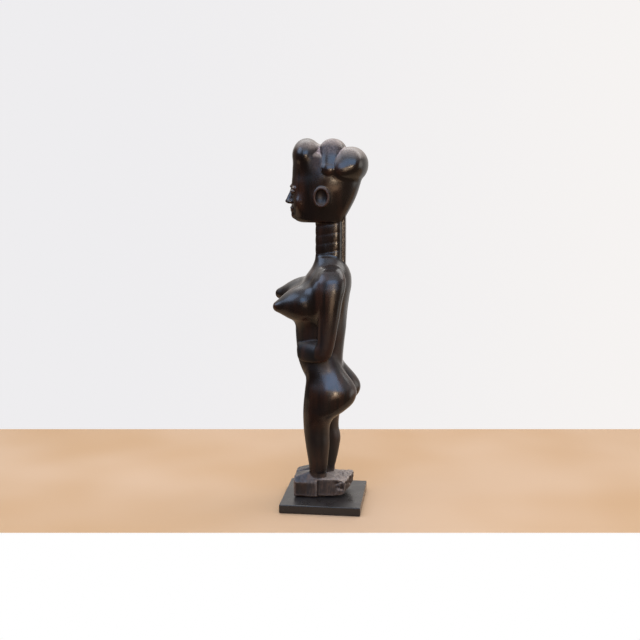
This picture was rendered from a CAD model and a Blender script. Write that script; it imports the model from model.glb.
"""A carved hardwood female figure on its painted stand board, in plain soft studio light.

The carving is one piece of wood. Its forms are lofts, eggs, rolls and hewn blocks, which are joined and cut
in one blank and meshed together, so that they run into each other as carved forms do. Sizes are millimetres
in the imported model's frame: +Z is up, the figure faces -Y, and +X is its left side.
"""

import dataclasses
import logging
import math
from dataclasses import dataclass
from enum import Enum
from typing import ClassVar, NamedTuple, Union

import bpy
import numpy as np
from mathutils import Matrix, Vector

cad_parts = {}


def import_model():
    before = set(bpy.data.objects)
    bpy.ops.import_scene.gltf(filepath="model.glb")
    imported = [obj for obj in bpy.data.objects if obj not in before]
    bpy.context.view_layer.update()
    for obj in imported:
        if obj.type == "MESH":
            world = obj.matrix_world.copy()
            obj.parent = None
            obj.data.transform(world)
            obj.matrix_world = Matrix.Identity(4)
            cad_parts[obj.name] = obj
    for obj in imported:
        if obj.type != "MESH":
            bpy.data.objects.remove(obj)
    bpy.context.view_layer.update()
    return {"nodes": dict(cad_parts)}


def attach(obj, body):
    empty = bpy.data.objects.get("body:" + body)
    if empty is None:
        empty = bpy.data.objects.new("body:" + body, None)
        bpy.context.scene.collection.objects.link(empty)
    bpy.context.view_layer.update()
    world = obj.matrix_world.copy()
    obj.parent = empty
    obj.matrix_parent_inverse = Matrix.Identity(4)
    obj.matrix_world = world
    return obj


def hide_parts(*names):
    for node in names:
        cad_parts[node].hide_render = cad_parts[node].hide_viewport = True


MM = 0.001
GRID_STEP = 0.85
REACH = 15.0
OUTSIDE = 40.0
LEAST_FILLET = 0.15
PULLS = 6
PULL_REACH = 0.5
LONGEST_PULL = 0.4
LEAST_SLOPE = 0.2
LOG = logging.getLogger("figure")

Array = np.ndarray
Point = tuple[float, float, float]
Rows = tuple[tuple[float, ...], ...]
Steps = tuple[tuple[float, float], ...]
Corners = tuple[Array, Array]
Colour = tuple[float, float, float, float]
Socket = bpy.types.NodeSocket
Value = Union[float, tuple, Socket]


class Run(Enum):
    """The way a loft's sections are stacked."""

    UP = "up the body"
    FORWARD = "from front to back"


class Level(Enum):
    """A height on the face, in thirds up from the chin to the hairline."""

    CHIN = 0.0
    MOUTH = 2 / 3
    NOSE_BASE = 1.0
    BROW = 2.0


def smooth_track(knots: Array, values: Array, at: Array) -> Array:
    """Reads a smooth curve through a form's stations.

    Args:
        knots: The stations' places, rising.
        values: One value at each station.
        at: The places to read. Past the ends the curve goes on straight.

    Returns:
        The value at each place, by cubic pieces.
    """
    slopes = np.gradient(values, knots)
    held = np.clip(at, knots[0], knots[-1])
    left = np.clip(np.searchsorted(knots, held, side="right") - 1, 0, len(knots) - 2)
    width = knots[left + 1] - knots[left]
    t = (held - knots[left]) / width
    rise = (2 * t**3 - 3 * t**2 + 1) * values[left] + (3 * t**2 - 2 * t**3) * values[left + 1]
    lean = (t**3 - 2 * t**2 + t) * slopes[left] + (t**3 - t**2) * slopes[left + 1]
    past = np.clip(at - held, -REACH, REACH) * np.where(at < held, slopes[0], slopes[-1])
    return rise + lean * width + past


def smooth_min(a: Array, b: Array, blend: Union[float, Array]) -> Array:
    """The lesser of two distances, rounded where they are within blend of each other."""
    near = np.maximum(blend - np.abs(a - b), 0.0) / blend
    return np.minimum(a, b) - near * near * blend * 0.25


def smooth_max(a: Array, b: Array, blend: Union[float, Array]) -> Array:
    """The greater of two distances, rounded where they are within blend of each other."""
    return -smooth_min(-a, -b, blend)


def smooth_step(value: Array, start: float, end: float) -> Array:
    """A smooth step from 0 at start to 1 at end, which may lie below start."""
    t = np.clip((value - start) / (end - start), 0.0, 1.0)
    return t * t * (3 - 2 * t)


def band(value: float, rise: float, full: float, fall: float, gone: float) -> float:
    """A smooth step up from rise to full, and down again from fall to gone."""
    return smooth_step(value, rise, full) * (1 - smooth_step(value, fall, gone))


def box_round(points: list[Point], reach: Union[float, Point]) -> Corners:
    """The lowest and highest corner of the points, with a margin."""
    return np.min(points, axis=0) - reach, np.max(points, axis=0) + reach


def flipped(value: Union[float, Point]) -> Union[float, Point]:
    """An angle or a point as it is on the other side of the body."""
    return (-value[0], *value[1:]) if isinstance(value, tuple) else -value


class Form:
    """A solid shape, as distances that are below zero inside. Flips names its one-sided fields."""

    flips: ClassVar[tuple[str, ...]] = ()

    def mirrored(self) -> "Form":
        """The same form on the other side of the body."""
        return dataclasses.replace(self, **{name: flipped(getattr(self, name)) for name in self.flips})

    def bounds(self) -> Corners:
        """The lowest and highest corner of the form."""
        raise NotImplementedError

    def distance(self, x: Array, y: Array, z: Array) -> Array:
        """The distance to the form's surface at each point.

        Args:
            x: The points' x, in an array that broadcasts with the others.
            y: Their y.
            z: Their z.

        Returns:
            The distances, in millimetres.
        """
        raise NotImplementedError


class Station(NamedTuple):
    """A section of a loft: its place on the run, two edges, half its width, its middle and its squareness."""

    at: float
    low: float
    high: float
    half: float
    middle: float = 0.0
    square: float = 2.0


@dataclass(frozen=True)
class Loft(Form):
    """Oval sections stacked up the body or from front to back. Shear slants each section across the body."""

    rows: Rows
    run: Run = Run.UP
    cap: float = 3.0
    shear: float = 0.0

    @property
    def stations(self) -> list[Station]:
        """The rows as named sections."""
        return [Station(*row) for row in self.rows]

    def mirrored(self) -> "Loft":
        """The same form on the other side of the body."""
        rows = tuple(tuple(s._replace(middle=-s.middle)) for s in self.stations)
        return dataclasses.replace(self, rows=rows, shear=-self.shear)

    def track(self, name: str, at: Array) -> Array:
        """One of the stations' sizes, read smoothly along the run."""
        knots = np.array([s.at for s in self.stations])
        return smooth_track(knots, np.array([getattr(s, name) for s in self.stations]), at)

    def bounds(self) -> Corners:
        """The lowest and highest corner of the form."""
        places = self.stations
        slack = 1.0 + abs(self.shear) * max(s.half for s in places)
        wide = min(s.middle - s.half for s in places), max(s.middle + s.half for s in places)
        deep = min(s.low for s in places), max(s.high for s in places)
        long = places[0].at, places[-1].at
        box = (wide, deep, long) if self.run is Run.UP else (wide, long, deep)
        return box_round(list(zip(*box)), slack)

    def distance(self, x: Array, y: Array, z: Array) -> Array:
        """The distance to the form's surface at each point."""
        along, other = (z, y) if self.run is Run.UP else (y, z)
        names = ("low", "high", "half", "middle", "square")
        low, high, half, middle, square = (self.track(name, along) for name in names)
        depth = np.maximum((high - low) / 2, 1.0)
        square = np.maximum(square, 1.6)
        u = np.abs((x - middle) / np.maximum(half, 1.0)) + 1e-4
        v = np.abs((other - self.shear * (x - middle) - (low + high) / 2) / depth) + 1e-4
        reach = (u**square + v**square) ** (1 / square)
        slopes = np.gradient(reach, GRID_STEP)
        slopes[2 if self.run is Run.UP else 1] /= np.maximum(reach, 1.0)
        body = (reach - 1) / np.maximum(np.sqrt(sum(slope**2 for slope in slopes)), 0.012)
        ends = np.maximum(self.rows[0][0] - along, along - self.rows[-1][0])
        return smooth_max(body, ends + 0 * body, self.cap)


@dataclass(frozen=True)
class Egg(Form):
    """A ball stretched to three radii. Lean turns it about x and turn about z, in degrees."""

    at: Point
    radii: Point
    lean: float = 0.0
    turn: float = 0.0
    flips = ("at", "turn")

    def own_axes(self) -> Matrix:
        """The egg's own axes, as rows."""
        turn = Matrix.Rotation(math.radians(self.turn), 3, "Z")
        return (turn @ Matrix.Rotation(math.radians(self.lean), 3, "X")).transposed()

    def bounds(self) -> Corners:
        """The lowest and highest corner of the form."""
        return box_round([self.at], max(self.radii) if self.lean or self.turn else self.radii)

    def distance(self, x: Array, y: Array, z: Array) -> Array:
        """The distance to the form's surface at each point."""
        offset = (x - self.at[0], y - self.at[1], z - self.at[2])
        own = [sum(c * o for c, o in zip(row, offset)) for row in self.own_axes()]
        near = np.sqrt(sum((o / r) ** 2 for o, r in zip(own, self.radii)))
        slope = np.sqrt(sum((o / r**2) ** 2 for o, r in zip(own, self.radii)))
        return near * (near - 1) / np.maximum(slope, 1e-6)


@dataclass(frozen=True)
class Roll(Form):
    """A round bar that tapers between two balls."""

    start: Point
    start_radius: float
    end: Point
    end_radius: float
    flips = ("start", "end")

    def bounds(self) -> Corners:
        """The lowest and highest corner of the form."""
        return box_round([self.start, self.end], max(self.start_radius, self.end_radius))

    def distance(self, x: Array, y: Array, z: Array) -> Array:
        """The distance to the form's surface at each point."""
        axis = np.subtract(self.end, self.start)
        offset = [c - s for c, s in zip((x, y, z), self.start)]
        share = np.clip(sum(a * o for a, o in zip(axis, offset)) / axis.dot(axis), 0, 1)
        away = np.sqrt(sum((o - a * share) ** 2 for a, o in zip(axis, offset)))
        return away - (self.start_radius + share * (self.end_radius - self.start_radius))


@dataclass(frozen=True)
class Spindle(Form):
    """A turned form: its radius at shares of the way from its root to its rounded tip."""

    root: Point
    tip: Point
    shares: tuple[float, ...]
    radii: tuple[float, ...]

    def bounds(self) -> Corners:
        """The lowest and highest corner of the form."""
        return box_round([self.root, self.tip], max(self.radii))

    def distance(self, x: Array, y: Array, z: Array) -> Array:
        """The distance to the form's surface at each point."""
        axis = np.subtract(self.tip, self.root)
        length = float(np.linalg.norm(axis))
        offset = [c - s for c, s in zip((x, y, z), self.root)]
        along = sum(a * o for a, o in zip(axis / length, offset))
        away = np.sqrt(np.maximum(sum(o * o for o in offset) - along**2, 0))
        knots = np.array(self.shares) * length
        radius = smooth_track(knots, np.array(self.radii), along)
        slope = (smooth_track(knots, np.array(self.radii), along + 0.5) - radius) / 0.5
        side = (away - radius) / np.sqrt(1 + slope**2)
        taper = (self.radii[-2] - self.radii[-1]) / (knots[-1] - knots[-2])
        middle = knots[-1] - self.radii[-1] * taper
        ball = np.sqrt((along - middle) ** 2 + away**2) - self.radii[-1] * math.sqrt(1 + taper**2)
        return np.maximum(np.where(along > knots[-1], ball, side), -along)


@dataclass(frozen=True)
class Ring(Form):
    """A rim round an upright oval that faces sideways."""

    at: Point
    half_length: float
    half_height: float
    thickness: float
    flips = ("at",)

    def bounds(self) -> Corners:
        """The lowest and highest corner of the form."""
        half = (self.half_length, self.half_length, self.half_height)
        return box_round([self.at], np.add(half, self.thickness))

    def distance(self, x: Array, y: Array, z: Array) -> Array:
        """The distance to the form's surface at each point."""
        u, v = (y - self.at[1]) / self.half_length, (z - self.at[2]) / self.half_height
        near = np.sqrt(u * u + v * v) + 1e-6
        slope = np.sqrt((u / self.half_length) ** 2 + (v / self.half_height) ** 2) + 1e-6
        return np.sqrt((near * (near - 1) / slope) ** 2 + (x - self.at[0]) ** 2) - self.thickness


@dataclass(frozen=True)
class Chunk(Form):
    """A block hewn flat. Each plane is a point on it and the way that it faces."""

    low: Point
    high: Point
    planes: tuple[tuple[Point, Point], ...] = ()
    edge: float = 1.0

    def mirrored(self) -> "Chunk":
        """The same form on the other side of the body."""
        low, high = (-self.high[0], *self.low[1:]), (-self.low[0], *self.high[1:])
        planes = tuple((flipped(point), flipped(normal)) for point, normal in self.planes)
        return dataclasses.replace(self, low=low, high=high, planes=planes)

    def bounds(self) -> Corners:
        """The lowest and highest corner of the form."""
        return np.array(self.low), np.array(self.high)

    def distance(self, x: Array, y: Array, z: Array) -> Array:
        """The distance to the form's surface at each point."""
        whole = np.full(np.broadcast(x, y, z).shape, -1e3)
        for axis, low, high in zip((x, y, z), self.low, self.high):
            whole = smooth_max(whole, np.maximum(low - axis, axis - high) + 0 * whole, self.edge)
        for point, normal in self.planes:
            unit = np.array(normal) / np.linalg.norm(normal)
            flat = sum(n * (axis - p) for n, axis, p in zip(unit, (x, y, z), point))
            whole = smooth_max(whole, flat + 0 * whole, self.edge)
        return whole


@dataclass(frozen=True)
class Cluster(Form):
    """Forms that are joined to each other with one fillet before they meet the rest."""

    members: tuple[Form, ...]
    blend: float = 1.0

    def bounds(self) -> Corners:
        """The lowest and highest corner of the form."""
        lows, highs = zip(*(member.bounds() for member in self.members))
        return np.min(lows, axis=0), np.max(highs, axis=0)

    def distance(self, x: Array, y: Array, z: Array) -> Array:
        """The distance to the form's surface at each point."""
        whole = self.members[0].distance(x, y, z)
        for member in self.members[1:]:
            whole = smooth_min(whole, member.distance(x, y, z), self.blend)
        return whole


@dataclass(frozen=True)
class Fillet:
    """A fillet that widens from a low level up to a high one, and fades out towards its top and its back."""

    low_width: float
    high_width: float
    low: float = 0.0
    high: float = 1.0
    top: float = 400.0
    back: float = 100.0
    fade: float = 8.0

    def width(self, y: Array, z: Array) -> Array:
        """The fillet's width at each point.

        Args:
            y: The points' y.
            z: The points' z.

        Returns:
            The widths, in millimetres.
        """
        wide = smooth_step(z, self.low, self.high) * smooth_step(self.top - z, 0, self.fade)
        wide = wide * smooth_step(self.back - y, 0, self.fade)
        return self.low_width + (self.high_width - self.low_width) * wide


class Blank:
    """The blank of wood, as a grid of distances that forms are joined to and cut from."""

    def __init__(self, low: Point, high: Point) -> None:
        """Starts an empty blank between two corners."""
        self.axes = [np.arange(a, b + GRID_STEP, GRID_STEP) for a, b in zip(low, high)]
        self.depth = np.full([len(axis) for axis in self.axes], OUTSIDE)

    def window(self, form: Form) -> tuple[tuple[slice, ...], list[Array]]:
        """The part of the grid in reach of a form.

        Args:
            form: The form to reach round.

        Returns:
            The slices of the grid, and its coordinates as arrays that broadcast together.
        """
        low, high = form.bounds()
        cuts = []
        for axis, a, b in zip(self.axes, low - REACH, high + REACH):
            first, last = np.searchsorted(axis, (a, b))
            cuts.append(slice(max(first - 1, 0), last + 1))
        x, y, z = (axis[cut] for axis, cut in zip(self.axes, cuts))
        return tuple(cuts), [x[:, None, None], y[None, :, None], z[None, None, :]]

    @staticmethod
    def openness(a: Array, b: Array) -> Array:
        """How far apart two surfaces face: 0 side by side, 1 where they meet square or sharper.

        Args:
            a: The distances to one surface.
            b: The distances to the other.

        Returns:
            The share at each grid point, evened out over its neighbours.
        """
        slopes_a, slopes_b = np.gradient(a), np.gradient(b)
        product = sum(p * q for p, q in zip(slopes_a, slopes_b))
        sizes = np.sqrt(sum(p * p for p in slopes_a) * sum(q * q for q in slopes_b)) + 1e-9
        found = np.clip(1 - product / sizes, 0.0, 1.0)
        for axis in (0, 1, 2) * 2:
            found = (np.roll(found, 2, axis) + found + np.roll(found, -2, axis)) / 3
        return found

    def join(self, form: Form, fillet: Union[float, Fillet]) -> None:
        """Joins a form, with a fillet where it meets the rest at an angle.

        Args:
            form: The form to join.
            fillet: The fillet, or its one width.
        """
        fillet = fillet if isinstance(fillet, Fillet) else Fillet(fillet, fillet)
        cuts, (x, y, z) = self.window(form)
        distance = form.distance(x, y, z)
        blend = fillet.width(y, z) * self.openness(self.depth[cuts], distance) + LEAST_FILLET
        self.depth[cuts] = smooth_min(self.depth[cuts], distance, blend)

    def cut(self, form: Form, rounding: float) -> None:
        """Cuts a form away, and rounds the edges of the cut."""
        cuts, (x, y, z) = self.window(form)
        self.depth[cuts] = smooth_max(self.depth[cuts], -form.distance(x, y, z), rounding)

    def join_both(self, form: Form, fillet: Union[float, Fillet]) -> None:
        """Joins a form on the left and its mirror image on the right."""
        self.join(form, fillet)
        self.join(form.mirrored(), fillet)

    def cut_both(self, form: Form, rounding: float) -> None:
        """Cuts a form away on the left and its mirror image on the right."""
        self.cut(form, rounding)
        self.cut(form.mirrored(), rounding)

    def sample(self, points: Array) -> Array:
        """The distance at each point, between the eight grid points round it.

        Args:
            points: The points, in millimetres, one row each.

        Returns:
            The distances, in millimetres.
        """
        spots = [(points[:, i] - axis[0]) / GRID_STEP for i, axis in enumerate(self.axes)]
        whole = [np.clip(np.floor(s).astype(int), 0, len(axis) - 2) for s, axis in zip(spots, self.axes)]
        parts = [s - w for s, w in zip(spots, whole)]
        total = np.zeros(len(points))
        for corner in np.ndindex(2, 2, 2):
            weight = np.prod([p if c else 1 - p for p, c in zip(parts, corner)], axis=0)
            total += weight * self.depth[tuple(w + c for w, c in zip(whole, corner))]
        return total

    def steps(self, points: Array, reach: float) -> Corners:
        """The distances one reach ahead of and behind each point along the three axes.

        Args:
            points: The points, in millimetres, one row each.
            reach: How far each step goes.

        Returns:
            The distances ahead and those behind.
        """
        ahead = np.stack([self.sample(points + reach * axis) for axis in np.eye(3)], axis=1)
        behind = np.stack([self.sample(points - reach * axis) for axis in np.eye(3)], axis=1)
        return ahead, behind

    def hollowness(self, points: Array, reach: float) -> Array:
        """How hollow the surface is round each point, above zero in grooves and below zero on ridges."""
        ahead, behind = self.steps(points, reach)
        return -((ahead + behind).sum(axis=1) - 6 * self.sample(points)) / reach

    def pulled(self, points: Array) -> Array:
        """Points near the surface, pulled onto it along its slope in a few short moves.

        Args:
            points: The points, in millimetres, one row each.

        Returns:
            The points on the surface.
        """
        for _ in range(PULLS):
            ahead, behind = self.steps(points, PULL_REACH)
            slope = ahead - behind
            steepness = np.maximum((slope**2).sum(axis=1, keepdims=True), LEAST_SLOPE)
            move = -self.sample(points)[:, None] * slope / steepness
            points = points + np.clip(move, -LONGEST_PULL, LONGEST_PULL)
        return points

    def skin(self) -> tuple[Array, Array]:
        """The surface of the blank, with one quad across each grid edge that passes through it.

        Returns:
            The points, in millimetres, and the quads, wound to face outwards.
        """
        inside = self.depth < 0
        shifts = (slice(None, -1), slice(1, None))
        corners = sum(inside[i, j, k].astype(np.int8) for i in shifts for j in shifts for k in shifts)
        used = (corners > 0) & (corners < 8)
        numbers = np.full(used.shape, -1, np.int64)
        numbers[used] = np.arange(used.sum())
        cells = np.argwhere(used)
        points = np.stack([axis[cells[:, i]] + GRID_STEP / 2 for i, axis in enumerate(self.axes)], axis=1)
        return self.pulled(points), self.quads(inside, numbers)

    @staticmethod
    def quads(inside: Array, numbers: Array) -> Array:
        """The quads between the numbered cells round each grid edge that changes side.

        Args:
            inside: Which grid points are in the wood.
            numbers: The number of each surface cell.

        Returns:
            The quads, as four cell numbers each.
        """
        found = []
        for axis in range(3):
            solid = np.moveaxis(inside, axis, 0).astype(np.int8)
            cells = np.moveaxis(numbers, axis, 0)
            change = solid[1:, 1:-1, 1:-1] - solid[:-1, 1:-1, 1:-1]
            for way in (1, -1):
                a, b, c = np.nonzero(change == way)
                ring = [cells[a, b, c], cells[a, b + 1, c], cells[a, b + 1, c + 1], cells[a, b, c + 1]]
                outward = (way < 0) != (axis == 1)
                found.append(np.stack(ring if outward else ring[::-1], axis=1))
        return np.concatenate(found)


@dataclass(frozen=True)
class Torso:
    """Trunk, flanks that run into the arms, breasts and the groove down the spine."""

    trunk: Rows = (
        (97, -9, 4, 5), (103, -14, 10, 10), (113, -17.5, 17, 17), (124, -18.2, 20, 22.5, 0, 2.1),
        (136, -19.2, 19.4, 23.5, 0, 2.2), (147, -24, 19.4, 22.2, 0, 2.3), (158, -27.6, 19.4, 21.6, 0, 2.4),
        (172, -29.2, 20.6, 21, 0, 2.4), (190, -30.2, 22.6, 23, 0, 2.3), (208, -29, 24, 25.5, 0, 2.2),
        (224, -26.5, 26.2, 27.5, 0, 2.2), (237, -23.5, 28.2, 28, 0, 2.1), (246, -18.8, 27.6, 25.5),
        (253, -13.8, 25, 20), (259, -11, 21.4, 15), (266, -9, 18, 11),
    )
    flank: Rows = (
        (180, -11, 8, 19, 0, 2.4), (194, -13.5, 10, 23.6, 0, 2.5), (206, -17, 12, 29, 0, 2.6),
        (218, -19, 14, 33, 0, 2.6), (230, -18.5, 16, 34, 0, 2.6), (240, -15.5, 16, 32, 0, 2.4),
        (249, -11, 14, 26, 0, 2.2), (256, -7, 12, 19),
    )
    breast_lines: tuple[tuple[Point, Point], ...] = (
        ((10.7, -2, 219), (19.0, -49, 213.9)),
        ((-10.7, -2, 222.2), (-18.6, -52.2, 223.3)),
    )
    breast_shares: tuple[float, ...] = (0, 0.31, 0.47, 0.63, 0.77, 0.89, 1)
    breast_radii: tuple[float, ...] = (16.3, 20.2, 19.4, 16.6, 12.6, 8.4, 5.0)
    spine: Egg = Egg((0, 27.4, 200), (2.6, 4.6, 44), lean=-4.2)
    flank_fillet: float = 4.0
    breast_fillet: float = 13.0

    def carve(self, blank: Blank) -> None:
        """Joins the trunk, its flanks and the breasts, and cuts the spine's groove.

        Args:
            blank: The blank to carve.
        """
        blank.join(Loft(self.trunk), 1)
        blank.join(Loft(self.flank), self.flank_fillet)
        for root, tip in self.breast_lines:
            blank.join(Spindle(root, tip, self.breast_shares, self.breast_radii), self.breast_fillet)
        blank.cut(self.spine, 2.5)


@dataclass(frozen=True)
class Legs:
    """Hips, buttocks and straight legs. The right one is set back from the knee down."""

    left: Rows = (
        (26, -13.6, 2.6, 6.2, 11, 2.2), (34, -14.2, 3.4, 7, 11.4, 2.2), (44, -15, 4.8, 8.6, 12.6, 2.2),
        (56, -16.6, 6, 10.4, 13.8, 2.1), (68, -18.3, 7.2, 12, 14.6), (80, -19.8, 7, 12.8, 14.8),
        (90, -20.4, 8.2, 13.8, 15, 2.1), (97, -20.6, 12.6, 14.8, 15.2, 2.1), (104, -20.6, 22, 16.2, 15.6),
        (112, -20.2, 31, 16.7, 15.6), (120, -19.4, 35, 17, 15.6), (128, -18.6, 35.2, 16.2, 15.2),
        (136, -17.8, 31, 14.6, 14.2), (141, -18, 27, 13.4, 13.6, 2.1), (146, -18.4, 22.9, 12.6, 12.9, 2.3),
        (151, -18.4, 19.4, 12, 12.4, 2.5), (157, -18, 16.4, 11.4, 12.1, 2.6),
        (164, -17, 13.4, 10.8, 11.4, 2.6), (172, -15, 10, 9.4, 10.4, 2.4), (182, -11, 6, 6, 8),
    )
    set_back: float = 5.8
    hip_level: float = 108.0
    knee_level: float = 86.0
    hip_extra: float = 1.5
    hip_band: tuple[float, ...] = (96, 112, 140, 156)
    calf_extra: float = 2.8
    calf_rise: tuple[float, float] = (24, 64)
    calf_fall: tuple[float, float] = (70, 82)
    calf_left: float = 0.3
    crease_lift: float = 2.5
    crease_band: tuple[float, ...] = (96, 104, 106, 120)
    cleft: float = 1.2
    hip_fillet: Fillet = Fillet(0.8, 7, 110, 130)

    def right_section(self, row: tuple[float, ...]) -> tuple[float, ...]:
        """One section of the right leg, from the same section of the left.

        Args:
            row: The left leg's section.

        Returns:
            The right leg's section.
        """
        left = Station(*row)
        below = smooth_step(self.hip_level - left.at, 0, self.hip_level - self.knee_level)
        hip = self.hip_extra * band(left.at, *self.hip_band)
        lost = (1 - self.calf_left) * smooth_step(left.at, *self.calf_fall)
        calf = self.calf_extra * below * (smooth_step(left.at, *self.calf_rise) * (1 - lost))
        return tuple(left._replace(
            at=left.at + self.crease_lift * band(left.at, *self.crease_band),
            low=left.low + self.set_back * below,
            high=left.high + self.set_back * below + hip + calf,
            middle=-left.middle,
        ))

    def carve(self, blank: Blank) -> None:
        """Joins the two legs to the trunk."""
        right = tuple(self.right_section(row) for row in self.left)
        blank.join(Cluster((Loft(self.left, cap=5), Loft(right, cap=5)), self.cleft), self.hip_fillet)


@dataclass(frozen=True)
class Arms:
    """Arms that lie against the trunk, with the hands on the belly."""

    upper: Rows = (
        (159, -6, 5, 4, 28), (163, -8, 9, 6.5, 28.2, 2.2), (170, -8, 12, 7.6, 28.6, 2.3),
        (178, -4.5, 14, 7.8, 29, 2.3), (188, -3.6, 15.9, 7.8, 29.4, 2.3), (204, -3.2, 18.7, 8.2, 29.8, 2.2),
        (222, -5, 21.6, 8.8, 29.4, 2.2), (236, -6.5, 24.4, 9.6, 27.6, 2.1), (246, -5, 24, 9.6, 24.6),
        (253, -1, 20.5, 7.5, 20.5), (257, 4, 16, 4, 17),
    )
    fore: Rows = (
        (-27.6, 165, 172.5, 2.2, 13.2, 2.2), (-26, 161.5, 175.6, 4.6, 14.6, 2.3),
        (-22, 159, 177, 6, 17.6, 2.5), (-16, 158.6, 178, 6.6, 21.4, 2.6), (-8, 159, 178.4, 7, 25.4, 2.6),
        (0, 159.6, 177.4, 6.8, 27.8, 2.5), (7, 161, 174, 5.5, 28.4, 2.3),
    )
    slant: float = -0.5
    shoulder: Fillet = Fillet(2.4, 12, 188, 222, top=252, back=14)

    def carve(self, blank: Blank) -> None:
        """Joins both arms to the trunk."""
        blank.join_both(Loft(self.upper), self.shoulder)
        blank.join_both(Loft(self.fore, Run.FORWARD, cap=2, shear=self.slant), 2)


@dataclass(frozen=True)
class Neck:
    """The column of the neck, widest towards its back, and the flat plait that hangs behind it."""

    column: Chunk = Chunk(
        (-11.6, -9.5, 240), (11.6, 18.6, 316), edge=9,
        planes=(((11.2, 6, 0), (1, -0.16, 0)), ((-11.2, 6, 0), (-1, -0.16, 0))),
    )
    plait: Chunk = Chunk((-5.4, 14, 240), (5.4, 22.1, 318), edge=1.2)

    def carve(self, blank: Blank) -> None:
        """Joins the neck and the plait."""
        blank.join(self.column, Fillet(4, 1, 260, 272))
        blank.join(self.plait, 1)


@dataclass(frozen=True)
class Base:
    """The feet as plain blocks, and the rough block they are cut from, broken away at the heel."""

    foot: Chunk = Chunk(
        (1.6, -30.6, 9.8), (20.4, -5.2, 36.4), edge=0.4,
        planes=(
            ((0, -5.2, 29.8), (0, 6.6, 6.8)), ((0, -30.6, 31.8), (0, -4.6, 15.6)),
            ((20.4, 0, 26), (5.8, 0, 3.4)), ((1.6, 0, 30.8), (-1, 0, 0.7)),
            ((19.2, -30.6, 0), (0.8, -1, 0)), ((20.4, 0, 12), (1, 0, -1)), ((0, -30.6, 11.6), (0, -1, -1)),
        ),
    )
    block: Chunk = Chunk(
        (-18.4, -12, 9.8), (18.4, 30, 30), edge=0.4,
        planes=(
            ((0, -6, 9.8), (0, 3.2, -28)), ((0, 22, 13), (0, 6, -7)), ((0, 29, 19), (0, 7, -1)),
            ((0, 30, 26), (0, 4, 0.8)), ((18.4, 22.6, 0), (0.3, 1, 0)), ((17.8, 12, 0), (1, 0.22, 0.03)),
            ((11, 18, 30), (0.35, 0.5, 1)), ((-18.4, 22, 0), (-1, 0.5, -0.12)), ((18.4, 0, 12.4), (1, 0, -1)),
        ),
    )
    gap: Chunk = Chunk((17.2, -5.9, 6), (30, -5.1, 27.5), edge=0.2)

    def carve(self, blank: Blank) -> None:
        """Joins the feet and the block under them.

        Args:
            blank: The blank to carve.
        """
        blank.join_both(self.foot, 0.4)
        blank.join(self.block, 0.2)
        blank.cut_both(self.gap, 0.3)


@dataclass(frozen=True)
class Face:
    """A calm mask of the maker's own. Its eyes, nose and mouth are given from evenly spaced levels."""

    hairline: float = 353.0
    chin: float = 303.0
    cheek: Egg = Egg((10.5, -26.6, 321), (7.6, 4, 9), turn=30)
    brow: Roll = Roll((2.6, -34.4, 337.4), 1.5, (13.5, -30.6, 335.4), 1.3)
    socket: Egg = Egg((8.4, -34, -4.2), (6.6, 2.6, 4.4), turn=14)
    lid: Egg = Egg((8.4, -31.8, -4.2), (4.7, 2.9, 2.5), turn=14)
    slit: Egg = Egg((8.4, -35.2, -4.7), (4.2, 1.9, 0.42), turn=14)
    nose: Rows = (
        (-0.2, -38.6, -28, 2.8, 0, 1.8), (1.6, -40.8, -28, 3.3, 0, 1.8), (6, -39.4, -28, 2.8, 0, 1.8),
        (12, -36.6, -28, 2, 0, 1.8), (17, -34.6, -28, 2.2, 0, 1.8), (20, -33, -28, 3, 0, 1.8),
    )
    wing: Egg = Egg((3, -36.2, 1.9), (1.9, 2.7, 1.9))
    nostril: Egg = Egg((1.8, -37.6, -0.4), (0.9, 1.5, 1))
    mouth: Egg = Egg((0, -32.8, 0), (7.4, 2.4, 4.4))
    upper_lip: Egg = Egg((0, -33.8, 1.35), (5.4, 2.1, 1.5))
    lower_lip: Egg = Egg((0, -33.5, -1.35), (4.7, 2.1, 1.6))
    chin_ball: Egg = Egg((0, -29.8, 5.4), (6.6, 5, 5))

    def height(self, level: Level) -> float:
        """The height of one of the face's levels."""
        return self.chin + level.value * (self.hairline - self.chin) / 3

    def placed(self, form: Egg, level: Level) -> Egg:
        """A form raised to the level that it is given from."""
        x, y, z = form.at
        return dataclasses.replace(form, at=(x, y, z + self.height(level)))

    def carve_eyes(self, blank: Blank) -> None:
        """Cuts the sockets under a soft brow, and sets closed lids in them.

        Args:
            blank: The blank to carve.
        """
        blank.join_both(self.brow, 3)
        blank.cut_both(self.placed(self.socket, Level.BROW), 2.2)
        blank.join_both(self.placed(self.lid, Level.BROW), 0.6)
        blank.cut_both(self.placed(self.slit, Level.BROW), 0.4)

    def carve_nose(self, blank: Blank) -> None:
        """Joins a straight wedge nose with rounded wings, and cuts its nostrils.

        Args:
            blank: The blank to carve.
        """
        base = self.height(Level.NOSE_BASE)
        blank.join(Loft(tuple((base + rise, *sizes) for rise, *sizes in self.nose), cap=1.4), 1.6)
        blank.join_both(self.placed(self.wing, Level.NOSE_BASE), 1)
        blank.cut_both(self.placed(self.nostril, Level.NOSE_BASE), 0.4)

    def carve_mouth(self, blank: Blank) -> None:
        """Joins a small closed mouth and a rounded chin.

        Args:
            blank: The blank to carve.
        """
        blank.join(self.placed(self.mouth, Level.MOUTH), 2)
        for lip in (self.upper_lip, self.lower_lip):
            blank.join(self.placed(lip, Level.MOUTH), 0.5)
        blank.join(self.placed(self.chin_ball, Level.CHIN), 3)

    def carve(self, blank: Blank) -> None:
        """Carves the face on the front of the head.

        Args:
            blank: The blank to carve.
        """
        blank.join_both(self.cheek, 8)
        self.carve_eyes(blank)
        self.carve_nose(blank)
        self.carve_mouth(blank)


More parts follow.
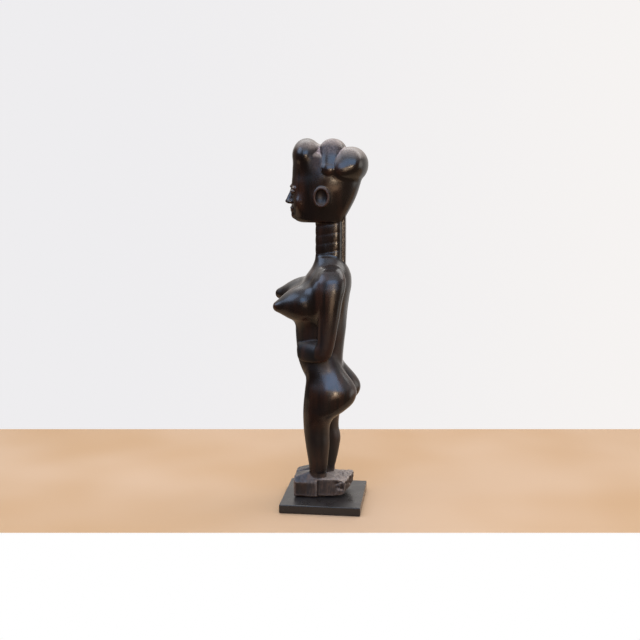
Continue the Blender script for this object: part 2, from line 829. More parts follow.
@dataclass(frozen=True)
class Head:
    """Skull, jaw and cupped ears, with the face on the front."""

    skull: Rows = (
        (300.4, -26, 18.5, 12, 0, 2.2), (302.5, -29.6, 20.2, 13.4, 0, 2.2), (307, -32, 22.4, 15, 0, 2.2),
        (316, -33.4, 27.4, 17.6, 0, 2.2), (327, -34, 32.6, 20, 0, 2.2), (338, -34.2, 36.4, 21.4, 0, 2.2),
        (348, -33.4, 39, 21.6, 0, 2.1), (358, -32.4, 41, 20.4, 0, 2.1), (368, -27, 37, 16), (375, -14, 28, 8),
    )
    ear_at: Point = (20.4, -0.8, 326.9)
    ear_half_length: float = 7.2
    ear_half_height: float = 9.0
    ear_rim: float = 1.5
    face: Face = Face()

    def ear_egg(self, outwards: float, half_depth: float, margin: float) -> Egg:
        """An egg that is larger than the ear by a margin, set outwards from it.

        Args:
            outwards: How far out of the ear's middle the egg lies.
            half_depth: Half its size from side to side.
            margin: How far it goes past the ear's outline.

        Returns:
            The egg.
        """
        x, y, z = self.ear_at
        radii = (half_depth, self.ear_half_length + margin, self.ear_half_height + margin)
        return Egg((x + outwards, y, z), radii)

    def carve_ears(self, blank: Blank) -> None:
        """Joins a low boss on each side, hollows it to a cup and gives it a rim.

        Args:
            blank: The blank to carve.
        """
        x, y, z = self.ear_at
        rim = Ring((x + 1.7, y, z), self.ear_half_length, self.ear_half_height, self.ear_rim)
        blank.join_both(self.ear_egg(-2, 4.6, 1.4), 1.6)
        blank.cut_both(self.ear_egg(3.4, 4.4, -0.6), 0.6)
        blank.join_both(rim, 0.7)

    def carve(self, blank: Blank) -> None:
        """Joins the head with its face and ears.

        Args:
            blank: The blank to carve.
        """
        blank.join(Loft(self.skull, cap=2), 1.2)
        self.face.carve(blank)
        self.carve_ears(blank)


@dataclass(frozen=True)
class Hair:
    """Five swelling rolls of hair: over the brow, slim and full ones at the sides, and one behind."""

    front: Egg = Egg((0, -18.2, 368.6), (22, 15, 17.6))
    rear: Egg = Egg((0, 28, 359.4), (21.4, 17, 18.2))
    rear_cheek: Roll = Roll((10.6, 25, 361), 13.6, (12.4, 19.4, 356.8), 12.6)
    side: Roll = Roll((5.6, 8.6, 371.6), 14.2, (15, 6.6, 355.8), 9.6)
    slim: Roll = Roll((4.4, -4.6, 373.4), 6.6, (10, -6, 364), 4.8)
    shave: Chunk = Chunk(
        (12, -3, 340), (60, 50, 400), edge=1,
        planes=(((23.8, 0, 361), (-1, 0, -0.34)), ((0, 0, 340), (0, 0, -1))),
    )

    def carve(self, blank: Blank) -> None:
        """Joins the front and rear rolls, which run into the skull, and the side rolls, and planes them.

        Args:
            blank: The blank to carve.
        """
        blank.join(self.front, Fillet(2, 18, top=374))
        blank.join_both(self.slim, 6)
        cheeks = self.rear_cheek, self.rear_cheek.mirrored()
        blank.join(Cluster((self.rear, *cheeks), 7), Fillet(1, 7, top=366))
        blank.join_both(self.side, 1.2)
        blank.cut_both(self.shave, 5)


class Graph:
    """Wires a node tree by short calls."""

    def __init__(self, tree: bpy.types.NodeTree) -> None:
        """Starts from a tree with no nodes."""
        tree.nodes.clear()
        self.tree = tree

    def fill(self, socket: Socket, value: Value) -> None:
        """Links a value that is a socket, and sets any other value on the socket itself.

        Args:
            socket: The input to fill.
            value: The socket or value for it.
        """
        if isinstance(value, bpy.types.NodeSocket):
            self.tree.links.new(value, socket)
        else:
            socket.default_value = value

    def add(self, kind: str, inputs: dict[Union[str, int], Value], **settings: object) -> bpy.types.Node:
        """Adds a node.

        Args:
            kind: The node's type.
            inputs: Values or sockets for the node's inputs, by name or number.
            settings: The node's own settings.

        Returns:
            The node.
        """
        node = self.tree.nodes.new(kind)
        for name, value in settings.items():
            setattr(node, name, value)
        for name, value in inputs.items():
            self.fill(node.inputs[name], value)
        return node

    def math(self, operation: str, *values: Value) -> Socket:
        """One operation on numbers."""
        return self.add("ShaderNodeMath", dict(enumerate(values)), operation=operation).outputs[0]

    def chain(self, operation: str, first: Value, *others: Value) -> Socket:
        """One operation on the first two numbers, then on its result and the third, and so on.

        Args:
            operation: The operation.
            first: The first number.
            others: The numbers that follow, in order.

        Returns:
            The last result.
        """
        for other in others:
            first = self.math(operation, first, other)
        return first

    def times(self, *values: Value) -> Socket:
        """The product of numbers."""
        return self.chain("MULTIPLY", *values)

    def plus(self, *values: Value) -> Socket:
        """The sum of numbers."""
        return self.chain("ADD", *values)

    def most(self, *values: Value) -> Socket:
        """The greatest of some numbers."""
        return self.chain("MAXIMUM", *values)

    def minus(self, a: Value, b: Value) -> Socket:
        """The first number less the second."""
        return self.math("SUBTRACT", a, b)

    def ramp(self, value: Value, low: float, high: float, start: float = 0.0, end: float = 1.0) -> Socket:
        """A smooth step from start, at low, to end, at high."""
        inputs = {"Value": value, "From Min": low, "From Max": high, "To Min": start, "To Max": end}
        return self.add("ShaderNodeMapRange", inputs, interpolation_type="SMOOTHSTEP").outputs[0]

    def parts(self, vector: Socket) -> list[Socket]:
        """The x, y and z of a vector."""
        return list(self.add("ShaderNodeSeparateXYZ", {0: vector}).outputs)

    def scaled(self, vector: Socket, scale: Value) -> Socket:
        """A vector made longer or shorter."""
        return self.add("ShaderNodeVectorMath", {0: vector, "Scale": scale}, operation="SCALE").outputs[0]

    def stretched(self, vector: Socket, scale: Point) -> Socket:
        """A vector with its axes scaled."""
        return self.add("ShaderNodeVectorMath", {0: vector, 1: scale}, operation="MULTIPLY").outputs[0]

    def noise(self, vector: Socket, scale: Value, detail: float = 2.0, seed: Value = 0.0) -> Socket:
        """Smooth noise between 0 and 1, fixed by its seed."""
        inputs = {"Vector": vector, "W": seed, "Scale": scale, "Detail": detail}
        return self.add("ShaderNodeTexNoise", inputs, noise_dimensions="4D").outputs[0]

    def mixed(self, share: Value, a: Value, b: Value) -> Socket:
        """One colour mixed into another by a share."""
        return self.add("ShaderNodeMix", {0: share, 6: a, 7: b}, data_type="RGBA").outputs[2]

    def facing_up(self, low: float, high: float, start: float = 0.0) -> Socket:
        """How far the surface faces up, by a smooth step over its normal's height."""
        normal = self.add("ShaderNodeNewGeometry", {}).outputs["Normal"]
        return self.ramp(self.parts(normal)[2], low, high, start)

    def bumped(self, height: Socket) -> Socket:
        """The surface's normal over a fine relief, whose height is in millimetres."""
        return self.add("ShaderNodeBump", {"Strength": 1.0, "Distance": MM, "Height": height}).outputs[0]


@dataclass(frozen=True)
class SurfaceCut:
    """A cut that follows a rule over the surface, made with Geometry Nodes. Sizes are named inputs."""

    def sizes(self) -> dict[str, float]:
        """The inputs' names and values, in millimetres."""
        values = {field.name: getattr(self, field.name) for field in dataclasses.fields(self)}
        return {name.replace("_", " ").capitalize(): float(value) for name, value in values.items()}

    def depth(self, graph: Graph, place: Socket, size: dict[str, Socket]) -> Socket:
        """The depth of the cut at each point.

        Args:
            graph: The tree's graph.
            place: The point's place, in millimetres.
            size: The tree's inputs, by name.

        Returns:
            The depth, in millimetres.
        """
        raise NotImplementedError

    def tree(self, material: bpy.types.Material) -> bpy.types.NodeTree:
        """Builds the tree: points move inwards by the depth, and the mesh takes its material.

        Args:
            material: The material that the mesh takes.

        Returns:
            The tree.
        """
        tree = bpy.data.node_groups.new(type(self).__name__, "GeometryNodeTree")
        tree.interface.new_socket("Geometry", in_out="INPUT", socket_type="NodeSocketGeometry")
        for name in self.sizes():
            tree.interface.new_socket(name, in_out="INPUT", socket_type="NodeSocketFloat")
        tree.interface.new_socket("Geometry", in_out="OUTPUT", socket_type="NodeSocketGeometry")
        graph = Graph(tree)
        given = graph.add("NodeGroupInput", {})
        place = graph.scaled(graph.add("GeometryNodeInputPosition", {}).outputs[0], 1 / MM)
        depth = self.depth(graph, place, {name: given.outputs[name] for name in self.sizes()})
        normal = graph.add("GeometryNodeInputNormal", {}).outputs[0]
        offset = graph.scaled(normal, graph.times(depth, -MM))
        inputs = {"Geometry": given.outputs["Geometry"], "Offset": offset}
        moved = graph.add("GeometryNodeSetPosition", inputs)
        plain = graph.add("GeometryNodeRealizeInstances", {"Geometry": moved.outputs[0]})
        dressed = graph.add("GeometryNodeSetMaterial", {"Geometry": plain.outputs[0], "Material": material})
        graph.add("NodeGroupOutput", {"Geometry": dressed.outputs[0]})
        return tree

    def attach(self, piece: bpy.types.Object, material: bpy.types.Material) -> None:
        """Adds the cut to a piece as a modifier, with its sizes set.

        Args:
            piece: The piece to cut.
            material: The material that it takes.
        """
        modifier = piece.modifiers.new(type(self).__name__, "NODES")
        modifier.node_group = self.tree(material)
        sizes = self.sizes()
        for item in modifier.node_group.interface.items_tree:
            if item.name in sizes and item.in_out == "INPUT":
                modifier[item.identifier] = sizes[item.name]


@dataclass(frozen=True)
class NeckRings(SurfaceCut):
    """Grooves round the neck, one pitch apart, that rise towards the nape and stop before the plait."""

    lowest: float = 270.0
    pitch: float = 9.45
    spaces: float = 3
    groove: float = 0.34
    sharpness: float = 1.4
    rise: float = 0.17
    nape: float = 18.0
    reach: float = 13.5

    def depth(self, graph: Graph, place: Socket, size: dict[str, Socket]) -> Socket:
        """The depth of the cut at each point."""
        x, y, z = graph.parts(place)
        level = graph.minus(z, graph.times(size["Rise"], graph.minus(y, 2.5)))
        turns = graph.math("DIVIDE", graph.minus(level, size["Lowest"]), size["Pitch"])
        held = graph.math("MINIMUM", graph.most(turns, 0.0), size["Spaces"])
        wave = graph.math("ABSOLUTE", graph.math("SINE", graph.times(held, math.pi)))
        groove = graph.math("POWER", graph.minus(1.0, wave), size["Sharpness"])
        past = graph.times(graph.math("ABSOLUTE", graph.minus(turns, held)), size["Pitch"])
        front = graph.ramp(graph.minus(size["Nape"], y), -0.3, 1.2)
        near = graph.ramp(graph.minus(size["Reach"], graph.math("ABSOLUTE", x)), 0.0, 1.5)
        fade = graph.times(graph.ramp(past, 0.0, 1.8, 1.0, 0.0), graph.times(front, near))
        return graph.times(groove, size["Groove"], fade)


@dataclass(frozen=True)
class KnifeMarks(SurfaceCut):
    """Slow unevenness of the polished body, and the hewn, split faces of the rough block."""

    swell: float = 0.44
    swell_size: float = 15.0
    hewn: float = 1.5
    hewn_size: float = 6.5
    split: float = 0.8
    split_size: float = 1.9
    broken: float = 3.2
    broken_size: float = 5.0
    heel: float = 10.0
    block_top: float = 33.0
    seed: float = 4.0

    def depth(self, graph: Graph, place: Socket, size: dict[str, Socket]) -> Socket:
        """The depth of the cut at each point."""
        rough = graph.ramp(graph.minus(graph.parts(place)[2], size["Block top"]), 0.0, 5.0, 1.0, 0.0)
        slow = graph.noise(place, self.per_size(graph, size["Swell size"]), 1.0, size["Seed"])
        swell = graph.times(graph.minus(slow, 0.5), size["Swell"])
        marks = graph.plus(self.hewing(graph, place, size), self.breaking(graph, place, size))
        return graph.plus(swell, graph.times(marks, rough))

    @staticmethod
    def per_size(graph: Graph, size: Socket) -> Socket:
        """The scale that gives a pattern of a size."""
        return graph.math("DIVIDE", 1.0, size)

    def hewing(self, graph: Graph, place: Socket, size: dict[str, Socket]) -> Socket:
        """The depth of the knife's upright facets and of the splits along the grain.

        Args:
            graph: The tree's graph.
            place: The point's place, in millimetres.
            size: The tree's inputs, by name.

        Returns:
            The depth, in millimetres.
        """
        upright = graph.stretched(place, (1.0, 1.0, 0.35))
        inputs = {"Vector": upright, "Scale": self.per_size(graph, size["Hewn size"])}
        facets = graph.add("ShaderNodeTexVoronoi", inputs, feature="SMOOTH_F1").outputs["Distance"]
        facets = graph.times(graph.minus(facets, 0.45), size["Hewn"])
        streaks = graph.stretched(place, (1.0, 1.0, 0.12))
        splits = graph.noise(streaks, self.per_size(graph, size["Split size"]), 2.0, size["Seed"])
        return graph.plus(facets, graph.times(graph.minus(splits, 0.5), size["Split"]))

    def breaking(self, graph: Graph, place: Socket, size: dict[str, Socket]) -> Socket:
        """The depth of the torn hollows at the heel's broken end.

        Args:
            graph: The tree's graph.
            place: The point's place, in millimetres.
            size: The tree's inputs, by name.

        Returns:
            The depth, in millimetres.
        """
        y, z = graph.parts(place)[1:]
        pattern = graph.noise(place, self.per_size(graph, size["Broken size"]), 3.0, size["Seed"])
        behind = graph.times(graph.ramp(graph.minus(y, size["Heel"]), 0.0, 8.0), graph.ramp(z, 14.0, 22.0))
        return graph.times(graph.ramp(pattern, 0.45, 0.75), behind, size["Broken"])


def colour(red: int, green: int, blue: int) -> Colour:
    """A colour for the shaders, from its values on screen."""
    light = [c / 255 / 12.92 if c <= 10 else ((c / 255 + 0.055) / 1.055) ** 2.4 for c in (red, green, blue)]
    return (*light, 1.0)


class Pattern(NamedTuple):
    """A noise pattern: its scale per millimetre, its detail and its seed."""

    scale: float
    detail: float
    seed: float = 0.0


class Finish:
    """A surface finish that builds its own material."""

    name = "finish"

    def shade(self, graph: Graph, place: Socket) -> bpy.types.Node:
        """Builds the shader for a place in millimetres.

        Args:
            graph: The material's graph.
            place: The point's place, in millimetres.

        Returns:
            The shader.
        """
        raise NotImplementedError

    def material(self) -> bpy.types.Material:
        """Makes the finish's material.

        Returns:
            The material.
        """
        material = bpy.data.materials.new(self.name)
        material.use_nodes = True
        graph = Graph(material.node_tree)
        place = graph.scaled(graph.add("ShaderNodeTexCoord", {}).outputs["Object"], 1 / MM)
        graph.add("ShaderNodeOutputMaterial", {"Surface": self.shade(graph, place).outputs[0]})
        return material


@dataclass(frozen=True)
class HandledWood(Finish):
    """Very dark wood, oiled and polished by handling, and left rough and dry on the block."""

    name = "handled_wood"
    heart: Colour = colour(14, 9, 8)
    worn: Colour = colour(44, 24, 15)
    streak: Colour = colour(10, 7, 6)
    dry: Colour = colour(64, 48, 38)
    crack: Colour = colour(26, 18, 14)
    film: Colour = colour(130, 117, 108)
    dust: Colour = colour(172, 152, 150)
    grain: Point = (1.0, 1.0, 0.06)
    fibres: Pattern = Pattern(1 / 0.55, 4.0)
    bands: Pattern = Pattern(0.16, 3.0, 7.0)
    broad_bands: Pattern = Pattern(0.07, 3.0, 15.0)
    patches: Pattern = Pattern(0.035, 3.0, 3.0)
    blotches: Pattern = Pattern(0.16, 3.0, 17.0)
    open_grain: Pattern = Pattern(0.8, 4.0, 13.0)
    specks: Pattern = Pattern(0.9, 3.0, 5.0)
    smears: Pattern = Pattern(0.09, 4.0, 11.0)
    gloss: tuple[float, float] = (0.17, 0.31)
    dry_roughness: float = 0.62
    specular: tuple[float, float] = (0.5, 0.15)

    def polished(self, graph: Graph, place: Socket, bands: Socket, ridge: Socket) -> Socket:
        """The colour of the handled wood, redder where it is worn and darker in streaks.

        Args:
            graph: The material's graph.
            place: The point's place, in millimetres.
            bands: The pattern of dark bands along the grain.
            ridge: The mask of ridges.

        Returns:
            The colour.
        """
        patches = graph.noise(place, *self.patches)
        broad_bands = graph.noise(graph.stretched(place, self.grain), *self.broad_bands)
        wear = graph.plus(graph.times(patches, 0.6), graph.times(broad_bands, 0.6), graph.times(ridge, 0.3))
        base = graph.mixed(graph.ramp(wear, 0.52, 0.85), self.heart, self.worn)
        return graph.mixed(graph.ramp(bands, 0.45, 0.7), base, self.streak)

    def dried(self, graph: Graph, place: Socket) -> Socket:
        """The colour of the bare wood, with dark cracks in its grain.

        Args:
            graph: The material's graph.
            place: The point's place, in millimetres.

        Returns:
            The colour.
        """
        grain = graph.noise(graph.stretched(place, (1.0, 1.0, 0.14)), *self.open_grain)
        grain = graph.plus(graph.times(grain, 0.5), graph.times(graph.noise(place, *self.blotches), 0.5))
        return graph.mixed(graph.ramp(grain, 0.4, 0.62), self.crack, self.dry)

    def settled(self, graph: Graph, place: Socket, bare: Socket, specks: Socket) -> Socket:
        """How thickly dust has settled: on faces that look up, most on the crown and on the bare heel.

        Args:
            graph: The material's graph.
            place: The point's place, in millimetres.
            bare: The mask of bare wood.
            specks: The pattern of specks.

        Returns:
            The dust's share of the colour.
        """
        up = graph.facing_up(0.22, 0.72)
        behind, height = graph.parts(place)[1:]
        crown = graph.times(graph.ramp(height, 300.0, 375.0, 0.12, 1.0), graph.ramp(behind, -20.0, -4.0, 0.5))
        heel = graph.times(bare, graph.ramp(behind, -18.0, 6.0, 0.15, 1.1))
        soft = graph.times(up, graph.most(crown, heel), graph.ramp(specks, 0.2, 0.8, 0.35, 0.75))
        chalky = graph.times(bare, graph.ramp(behind, -4.0, 8.0, 0.0, 0.9))
        return graph.most(soft, graph.times(chalky, graph.times(up, graph.ramp(specks, 0.3, 0.6, 0.3))))

    def shade(self, graph: Graph, place: Socket) -> bpy.types.Node:
        """Builds the shader for a place in millimetres, by the masks on the carving's points."""
        hewn, bare, dust, dull, ridge = (
            graph.add("ShaderNodeAttribute", {}, attribute_name=name).outputs["Fac"]
            for name in ("hewn", "bare", "dust", "dull", "ridge")
        )
        along = graph.stretched(place, self.grain)
        bands, specks = graph.noise(along, *self.bands), graph.noise(place, *self.specks)
        dryness = graph.times(bare, graph.ramp(bands, 0.3, 0.6, 0.35, 1.0))
        rubbed = graph.times(hewn, ridge, graph.ramp(specks, 0.3, 0.8, 0.1, 0.5))
        settled = self.settled(graph, place, bare, specks)
        dusty = graph.times(dust, graph.ramp(specks, 0.35, 0.65, 0.1, 0.75))
        base = graph.mixed(dryness, self.polished(graph, place, bands, ridge), self.dried(graph, place))
        base = graph.mixed(settled, graph.mixed(rubbed, base, self.film), self.film)
        matt = graph.most(dusty, graph.times(settled, 0.6), graph.most(bare, dull))
        smears = graph.noise(graph.stretched(place, (1.0, 1.0, 0.5)), *self.smears)
        sheen = graph.ramp(smears, 0.3, 0.75, *self.gloss)
        relief = graph.minus(graph.noise(along, *self.fibres), 0.5)
        return graph.add("ShaderNodeBsdfPrincipled", {
            "Base Color": graph.mixed(dusty, base, self.dust),
            "Roughness": graph.add("ShaderNodeMix", {0: matt, 2: sheen, 3: self.dry_roughness}).outputs[0],
            "IOR": 1.46,
            "Normal": graph.bumped(graph.times(relief, graph.ramp(hewn, 0.0, 1.0, 0.03, 0.20))),
            "Specular IOR Level": graph.ramp(dull, 0.0, 1.0, *self.specular),
        })


@dataclass(frozen=True)
class SatinPaint(Finish):
    """Satin black board paint with a film of dust on top."""

    name = "satin_paint"
    paint: Colour = colour(18, 16, 15)
    dust: Colour = colour(38, 33, 31)
    patches: Pattern = Pattern(0.05, 4.0, 2.0)
    specks: Pattern = Pattern(1.1, 3.0, 9.0)
    grain: Pattern = Pattern(1.4, 3.0, 4.0)
    gloss: tuple[float, float] = (0.20, 0.42)

    def shade(self, graph: Graph, place: Socket) -> bpy.types.Node:
        """Builds the shader for a place in millimetres."""
        patches, specks = graph.noise(place, *self.patches), graph.noise(place, *self.specks)
        grain = graph.noise(graph.stretched(place, (1.0, 0.06, 1.0)), *self.grain)
        film = graph.ramp(graph.plus(patches, graph.times(specks, 0.3)), 0.45, 0.95, 0.25, 0.85)
        film = graph.times(film, graph.facing_up(0.2, 0.9, 0.25))
        return graph.add("ShaderNodeBsdfPrincipled", {
            "Base Color": graph.mixed(film, self.paint, self.dust),
            "Roughness": graph.ramp(graph.plus(patches, film), 0.4, 1.3, *self.gloss),
            "IOR": 1.5,
            "Normal": graph.bumped(graph.plus(graph.times(grain, 0.05), graph.times(specks, 0.015))),
        })


@dataclass(frozen=True)
class FloorPaint(Finish):
    """Plain matt paint for the floor, very slightly clouded."""

    name = "floor_paint"
    tone: Colour = colour(152, 119, 84)
    light: Colour = colour(255, 250, 245)
    clouds: Pattern = Pattern(0.004, 2.0)
    roughness: float = 0.8

    def shade(self, graph: Graph, place: Socket) -> bpy.types.Node:
        """Builds the shader for a place in millimetres."""
        share = graph.ramp(graph.noise(place, *self.clouds), 0.3, 0.7, 0.0, 0.06)
        inputs = {"Base Color": graph.mixed(share, self.tone, self.light), "Roughness": self.roughness}
        return graph.add("ShaderNodeBsdfPrincipled", inputs)


def mesh_object(name: str, points: Array, quads: Array) -> bpy.types.Object:
    """Makes a smooth mesh object from points in millimetres.

    Args:
        name: The object's name.
        points: The points, one row each.
        quads: The faces, four point numbers each.

    Returns:
        The object, linked to the scene.
    """
    mesh = bpy.data.meshes.new(name)
    mesh.vertices.add(len(points))
    mesh.vertices.foreach_set("co", (points * MM).ravel())
    mesh.loops.add(quads.size)
    mesh.loops.foreach_set("vertex_index", quads.ravel())
    mesh.polygons.add(len(quads))
    mesh.polygons.foreach_set("loop_start", np.arange(0, quads.size, 4))
    mesh.polygons.foreach_set("use_smooth", np.ones(len(quads), bool))
    mesh.update(calc_edges=True)
    thing = bpy.data.objects.new(name, mesh)
    bpy.context.scene.collection.objects.link(thing)
    return thing


@dataclass(frozen=True)
class Patch:
    """A part of the carving with soft ends: smooth steps from 0 to 1 along each axis, rising or falling."""

    x: Steps = ()
    y: Steps = ()
    z: Steps = ()
    both_sides: bool = False

    def share(self, points: Array) -> Array:
        """How far each point lies in the patch, from 0 to 1.

        Args:
            points: The points, in millimetres, one row each.

        Returns:
            The share of each point.
        """
        x, y, z = points.T
        share = np.ones(len(points))
        for values, steps in zip((abs(x) if self.both_sides else x, y, z), (self.x, self.y, self.z)):
            for start, end in steps:
                share = share * smooth_step(values, start, end)
        return share


@dataclass(frozen=True)
class Wear:
    """Where the wood is hewn, bare, dusty, dull or rubbed."""

    block: Patch = Patch(z=((37.5, 32.5),))
    toes: Patch = Patch(y=((-15.5, -17.5),))
    crown: Patch = Patch(y=((28, 20),), z=((352, 366),))
    temple: Patch = Patch(x=((8, 12),), y=((-17, -10), (1, -4)), z=((348, 360),), both_sides=True)
    tuft: Patch = Patch(y=((-4, 1), (20, 14)), z=((366, 374),))
    waist: Patch = Patch(x=((2, 8),), z=((142, 156), (216, 178)))
    shins: Patch = Patch(z=((37, 42), (105, 70)))
    ear_reach: tuple[float, float] = (12, 10)
    ridge_reach: float = 1.7
    dust_reach: float = 2.2

    def masks(self, points: Array, blank: Blank, ear_at: Point) -> dict[str, Array]:
        """Makes the masks that the wood's finish reads.

        Args:
            points: The carving's points, in millimetres.
            blank: The blank that they were carved from.
            ear_at: The middle of the ear.

        Returns:
            The value of each mask at each point, by the mask's name.
        """
        block, temple, tuft = (patch.share(points) for patch in (self.block, self.temple, self.tuft))
        ear = smooth_step(np.hypot(points[:, 1] - ear_at[1], points[:, 2] - ear_at[2]), *self.ear_reach)
        hollows = smooth_step(blank.hollowness(points, self.dust_reach), 0.3, 0.95) * self.crown.share(points)
        waist, shins = self.waist.share(points), self.shins.share(points)
        return {
            "hewn": block,
            "bare": block * (1 - 0.65 * self.toes.share(points)),
            "dust": 0.8 * hollows + 0.08 * temple + 0.22 * tuft,
            "dull": np.maximum.reduce([0.8 * temple, 0.45 * ear, 0.55 * waist, 0.6 * tuft, 0.4 * shins]),
            "ridge": smooth_step(-blank.hollowness(points, self.ridge_reach), 0.1, 0.8),
        }


@dataclass(frozen=True)
class Figure:
    """The whole carving: it gathers the forms of its parts in one blank, meshes it and dresses it."""

    torso: Torso = Torso()
    legs: Legs = Legs()
    arms: Arms = Arms()
    neck: Neck = Neck()
    head: Head = Head()
    hair: Hair = Hair()
    base: Base = Base()
    rings: NeckRings = NeckRings()
    marks: KnifeMarks = KnifeMarks()
    wear: Wear = Wear()
    finish: HandledWood = HandledWood()
    low: Point = (-41, -58, 6)
    high: Point = (41, 47, 390)
    kept_faces: float = 0.52

    def carve(self) -> Blank:
        """Carves every part in one blank.

        Returns:
            The carved blank.
        """
        blank = Blank(self.low, self.high)
        for part in (self.torso, self.legs, self.arms, self.neck, self.head, self.hair, self.base):
            part.carve(blank)
            LOG.info("carved %s", type(part).__name__.lower())
        return blank

    def cut_mesh(self, blank: Blank) -> bpy.types.Mesh:
        """The blank's surface with its marks and rings cut, and thinned to the faces that are kept.

        Args:
            blank: The carved blank.

        Returns:
            The mesh, with its material.
        """
        rough = mesh_object("carving_rough", *blank.skin())
        material = self.finish.material()
        for cut in (self.marks, self.rings):
            cut.attach(rough, material)
        rough.modifiers.new("thin", "DECIMATE").ratio = self.kept_faces
        view = bpy.context.evaluated_depsgraph_get()
        mesh = bpy.data.meshes.new_from_object(rough.evaluated_get(view), depsgraph=view)
        bpy.data.objects.remove(rough)
        mesh.name = "carving"
        return mesh

    def store_masks(self, mesh: bpy.types.Mesh, blank: Blank) -> None:
        """Stores the masks of wear as numbers on the mesh's points.

        Args:
            mesh: The mesh to store them on.
            blank: The blank that it was carved from.
        """
        points = np.empty(len(mesh.vertices) * 3)
        mesh.vertices.foreach_get("co", points)
        points = points.reshape(-1, 3) / MM
        for name, values in self.wear.masks(points, blank, self.head.ear_at).items():
            layer = mesh.attributes.new(name, "FLOAT", "POINT")
            layer.data.foreach_set("value", values.astype(np.float32))

    def build(self) -> bpy.types.Object:
        """Carves, meshes and dresses the figure, and sets it on its body.

        Returns:
            The figure.
        """
        blank = self.carve()
        mesh = self.cut_mesh(blank)
        self.store_masks(mesh, blank)
        carving = bpy.data.objects.new("carving", mesh)
        bpy.context.scene.collection.objects.link(carving)
        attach(carving, "root")
        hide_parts("figure")
        return carving


@dataclass(frozen=True)
class StandBoard:
    """The flat board under the figure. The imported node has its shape, so it only gets its paint."""

    finish: SatinPaint = SatinPaint()

    def dress(self, node: bpy.types.Object) -> None:
        """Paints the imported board."""
        node.data.materials.clear()
        node.data.materials.append(self.finish.material())


@dataclass(frozen=True)
class Panel:
    """A soft rectangular light that faces the figure's middle and that the camera doesn't see.

    Bearing is its direction in degrees from the front towards the left side, rise its height in degrees and
    away its distance. Glow is its brightness, where 1 is white, and mirrored says whether glossy surfaces
    mirror it.
    """

    name: str
    bearing: float
    rise: float
    away: float
    size: tuple[float, float]
    glow: float
    tint: Point
    mirrored: bool = True

    def hang(self, middle: float) -> None:
        """Adds the light, aimed at a height on the stand's axis.

        Args:
            middle: The height that it faces, in millimetres.
        """
        data = bpy.data.lights.new(self.name, "AREA")
        data.shape = "RECTANGLE"
        data.size, data.size_y = (side * MM for side in self.size)
        data.energy = self.glow * math.pi * data.size * data.size_y
        data.color = self.tint
        turn, lift = math.radians(self.bearing), math.radians(self.rise)
        way = Vector((math.sin(turn) * math.cos(lift), -math.cos(turn) * math.cos(lift), math.sin(lift)))
        light = bpy.data.objects.new(self.name, data)
        light.location = Vector((0, 0, middle * MM)) + way * self.away * MM
        light.rotation_euler = (-way).to_track_quat("-Z", "Y").to_euler()
        light.visible_camera = False
        light.visible_glossy = self.mirrored
        bpy.context.scene.collection.objects.link(light)


@dataclass(frozen=True)
class Room:
    """The room's soft glow round the figure, low and high, and the white ground that the camera sees."""

    front: tuple[Colour, Colour] = ((0.12, 0.08, 0.06, 1), (0.75, 0.85, 1.05, 1))
    side: tuple[Colour, Colour] = ((0.42, 0.27, 0.17, 1), (0.9, 0.85, 0.8, 1))
    wall: tuple[Colour, Colour] = ((0.85, 0.8, 0.76, 1), (1.9, 1.9, 1.9, 1))
    wall_shade: Colour = (0.2, 0.16, 0.13, 1)
    behind: Colour = (2.6, 2.5, 2.35, 1)
    ground: tuple[Colour, Colour] = (colour(238, 237, 239), colour(247, 244, 242))
    ground_below: Colour = colour(255, 255, 255)

    def glow(self, graph: Graph, x: Socket, y: Socket, z: Socket) -> Socket:
        """The colour of the light from each direction.

        Args:
            graph: The world's graph.
            x: The direction's x.
            y: Its y.
            z: Its z.

        Returns:
            The colour.
        """
        high = graph.ramp(z, 0.0, 0.6)
        room = graph.mixed(graph.ramp(y, -0.6, 0.5, 0.0, 0.5), graph.mixed(high, *self.front),
                           graph.mixed(high, *self.side))
        lit = graph.ramp(graph.plus(graph.times(z, 0.5), y), -0.7, -0.3)
        wall = graph.mixed(lit, self.wall_shade, self.wall[0])
        wall = graph.mixed(graph.ramp(z, 0.35, 0.75), wall, self.wall[1])
        around = graph.mixed(graph.ramp(x, 0.1, -0.4), room, wall)
        return graph.mixed(graph.ramp(y, 0.9, 1.0), around, self.behind)

    def light(self) -> None:
        """Makes the scene's world."""
        world = bpy.data.worlds.new("world")
        bpy.context.scene.world = world
        world.use_nodes = True
        graph = Graph(world.node_tree)
        x, y, z = graph.parts(graph.add("ShaderNodeTexCoord", {}).outputs["Generated"])
        ground = graph.mixed(graph.ramp(y, -0.35, 0.35), *self.ground)
        ground = graph.mixed(graph.ramp(z, -0.34, -0.30), self.ground_below, ground)
        seen = graph.add("ShaderNodeLightPath", {}).outputs["Is Camera Ray"]
        sky = graph.mixed(seen, self.glow(graph, x, y, z), ground)
        background = graph.add("ShaderNodeBackground", {"Color": sky, "Strength": 1.0})
        graph.add("ShaderNodeOutputWorld", {"Surface": background.outputs[0]})


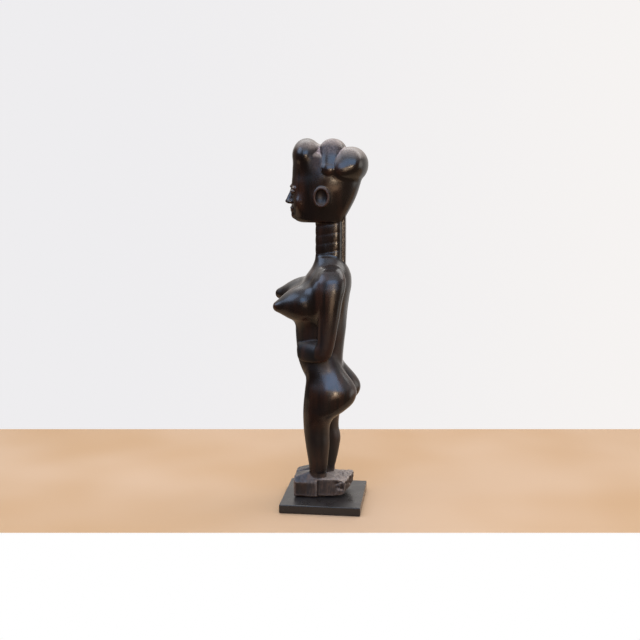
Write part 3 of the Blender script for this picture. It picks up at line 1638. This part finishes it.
@dataclass(frozen=True)
class Studio:
    """A pale floor on a white ground, soft lights round the figure, and the camera."""

    azimuth: float = 96.9815
    pitch: float = 9.0179
    lens: float = 56.0
    sensor: float = 36.0
    camera_at: Point = (1026.911, 120.985, 362.086)
    sight: float = 20.0
    floor_back: float = 292.0
    floor_front: float = 95.0
    floor_half: float = 900.0
    floor_paint: FloorPaint = FloorPaint()
    middle: float = 200.0
    room: Room = Room()
    panels: tuple[Panel, ...] = (
        Panel("overhead", 60, 80, 1500, (1300, 1300), 3.4, (0.96, 0.98, 1.0), mirrored=False),
        Panel("wall_top", 262, 62, 1200, (1500, 560), 1.9, (1.0, 0.98, 0.96)),
        Panel("back_top", 195, 45, 1300, (700, 560), 3.0, (1.0, 0.97, 0.93)),
        Panel("front_top", 23, 37, 1500, (940, 860), 3.8, (0.50, 0.68, 1.0)),
        Panel("window_sky", 98, 29, 1600, (1400, 740), 4.6, (0.36, 0.60, 1.0)),
        Panel("window_top", 98, 52, 1600, (1300, 460), 0.9, (0.62, 0.80, 1.0)),
        Panel("window_middle", 103, 6, 1500, (190, 290), 26.0, (1.0, 0.76, 0.53)),
        Panel("horizon", 98, 12, 1550, (1000, 150), 4.2, (1.0, 0.70, 0.44)),
        Panel("window_low", 103, -6, 900, (400, 130), 3.5, (1.0, 0.62, 0.38)),
    )

    def place_camera(self) -> None:
        """Sets the camera at the photograph's place."""
        data = bpy.data.cameras.new("camera")
        data.lens = self.lens
        data.sensor_width = self.sensor
        data.clip_end = self.sight
        camera = bpy.data.objects.new("camera", data)
        turn = Matrix.Rotation(math.radians(self.azimuth), 4, "Z")
        tip = Matrix.Rotation(math.radians(90 - self.pitch), 4, "X")
        camera.matrix_world = Matrix.Translation(Vector(self.camera_at) * MM) @ turn @ tip
        bpy.context.scene.collection.objects.link(camera)
        bpy.context.scene.camera = camera

    def build_floor(self) -> None:
        """Adds the floor, squarely before the camera, so that the white ground shows past its edges."""
        near, far, half = -self.floor_front, self.floor_back, self.floor_half
        corners = np.array([(-half, near, 0), (half, near, 0), (half, far, 0), (-half, far, 0)], float)
        turn = np.array(Matrix.Rotation(math.radians(self.azimuth), 3, "Z"))
        floor = mesh_object("floor", corners @ turn.T, np.array([[0, 1, 2, 3]]))
        floor.data.materials.append(self.floor_paint.material())

    def build(self) -> None:
        """Sets up the camera, the stage and the lights."""
        self.place_camera()
        self.build_floor()
        self.room.light()
        for panel in self.panels:
            panel.hang(self.middle)
        bpy.context.scene.view_settings.view_transform = "Standard"


def main() -> None:
    """Builds the stage, the figure and the board."""
    logging.basicConfig(level=logging.INFO, format="%(name)s: %(message)s")
    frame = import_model()
    Studio().build()
    LOG.info("studio ready")
    carving = Figure().build()
    LOG.info("figure: %d faces", len(carving.data.polygons))
    StandBoard().dress(frame["nodes"]["stand_board"])
    LOG.info("stand board painted")


if __name__ == "__main__":
    main()
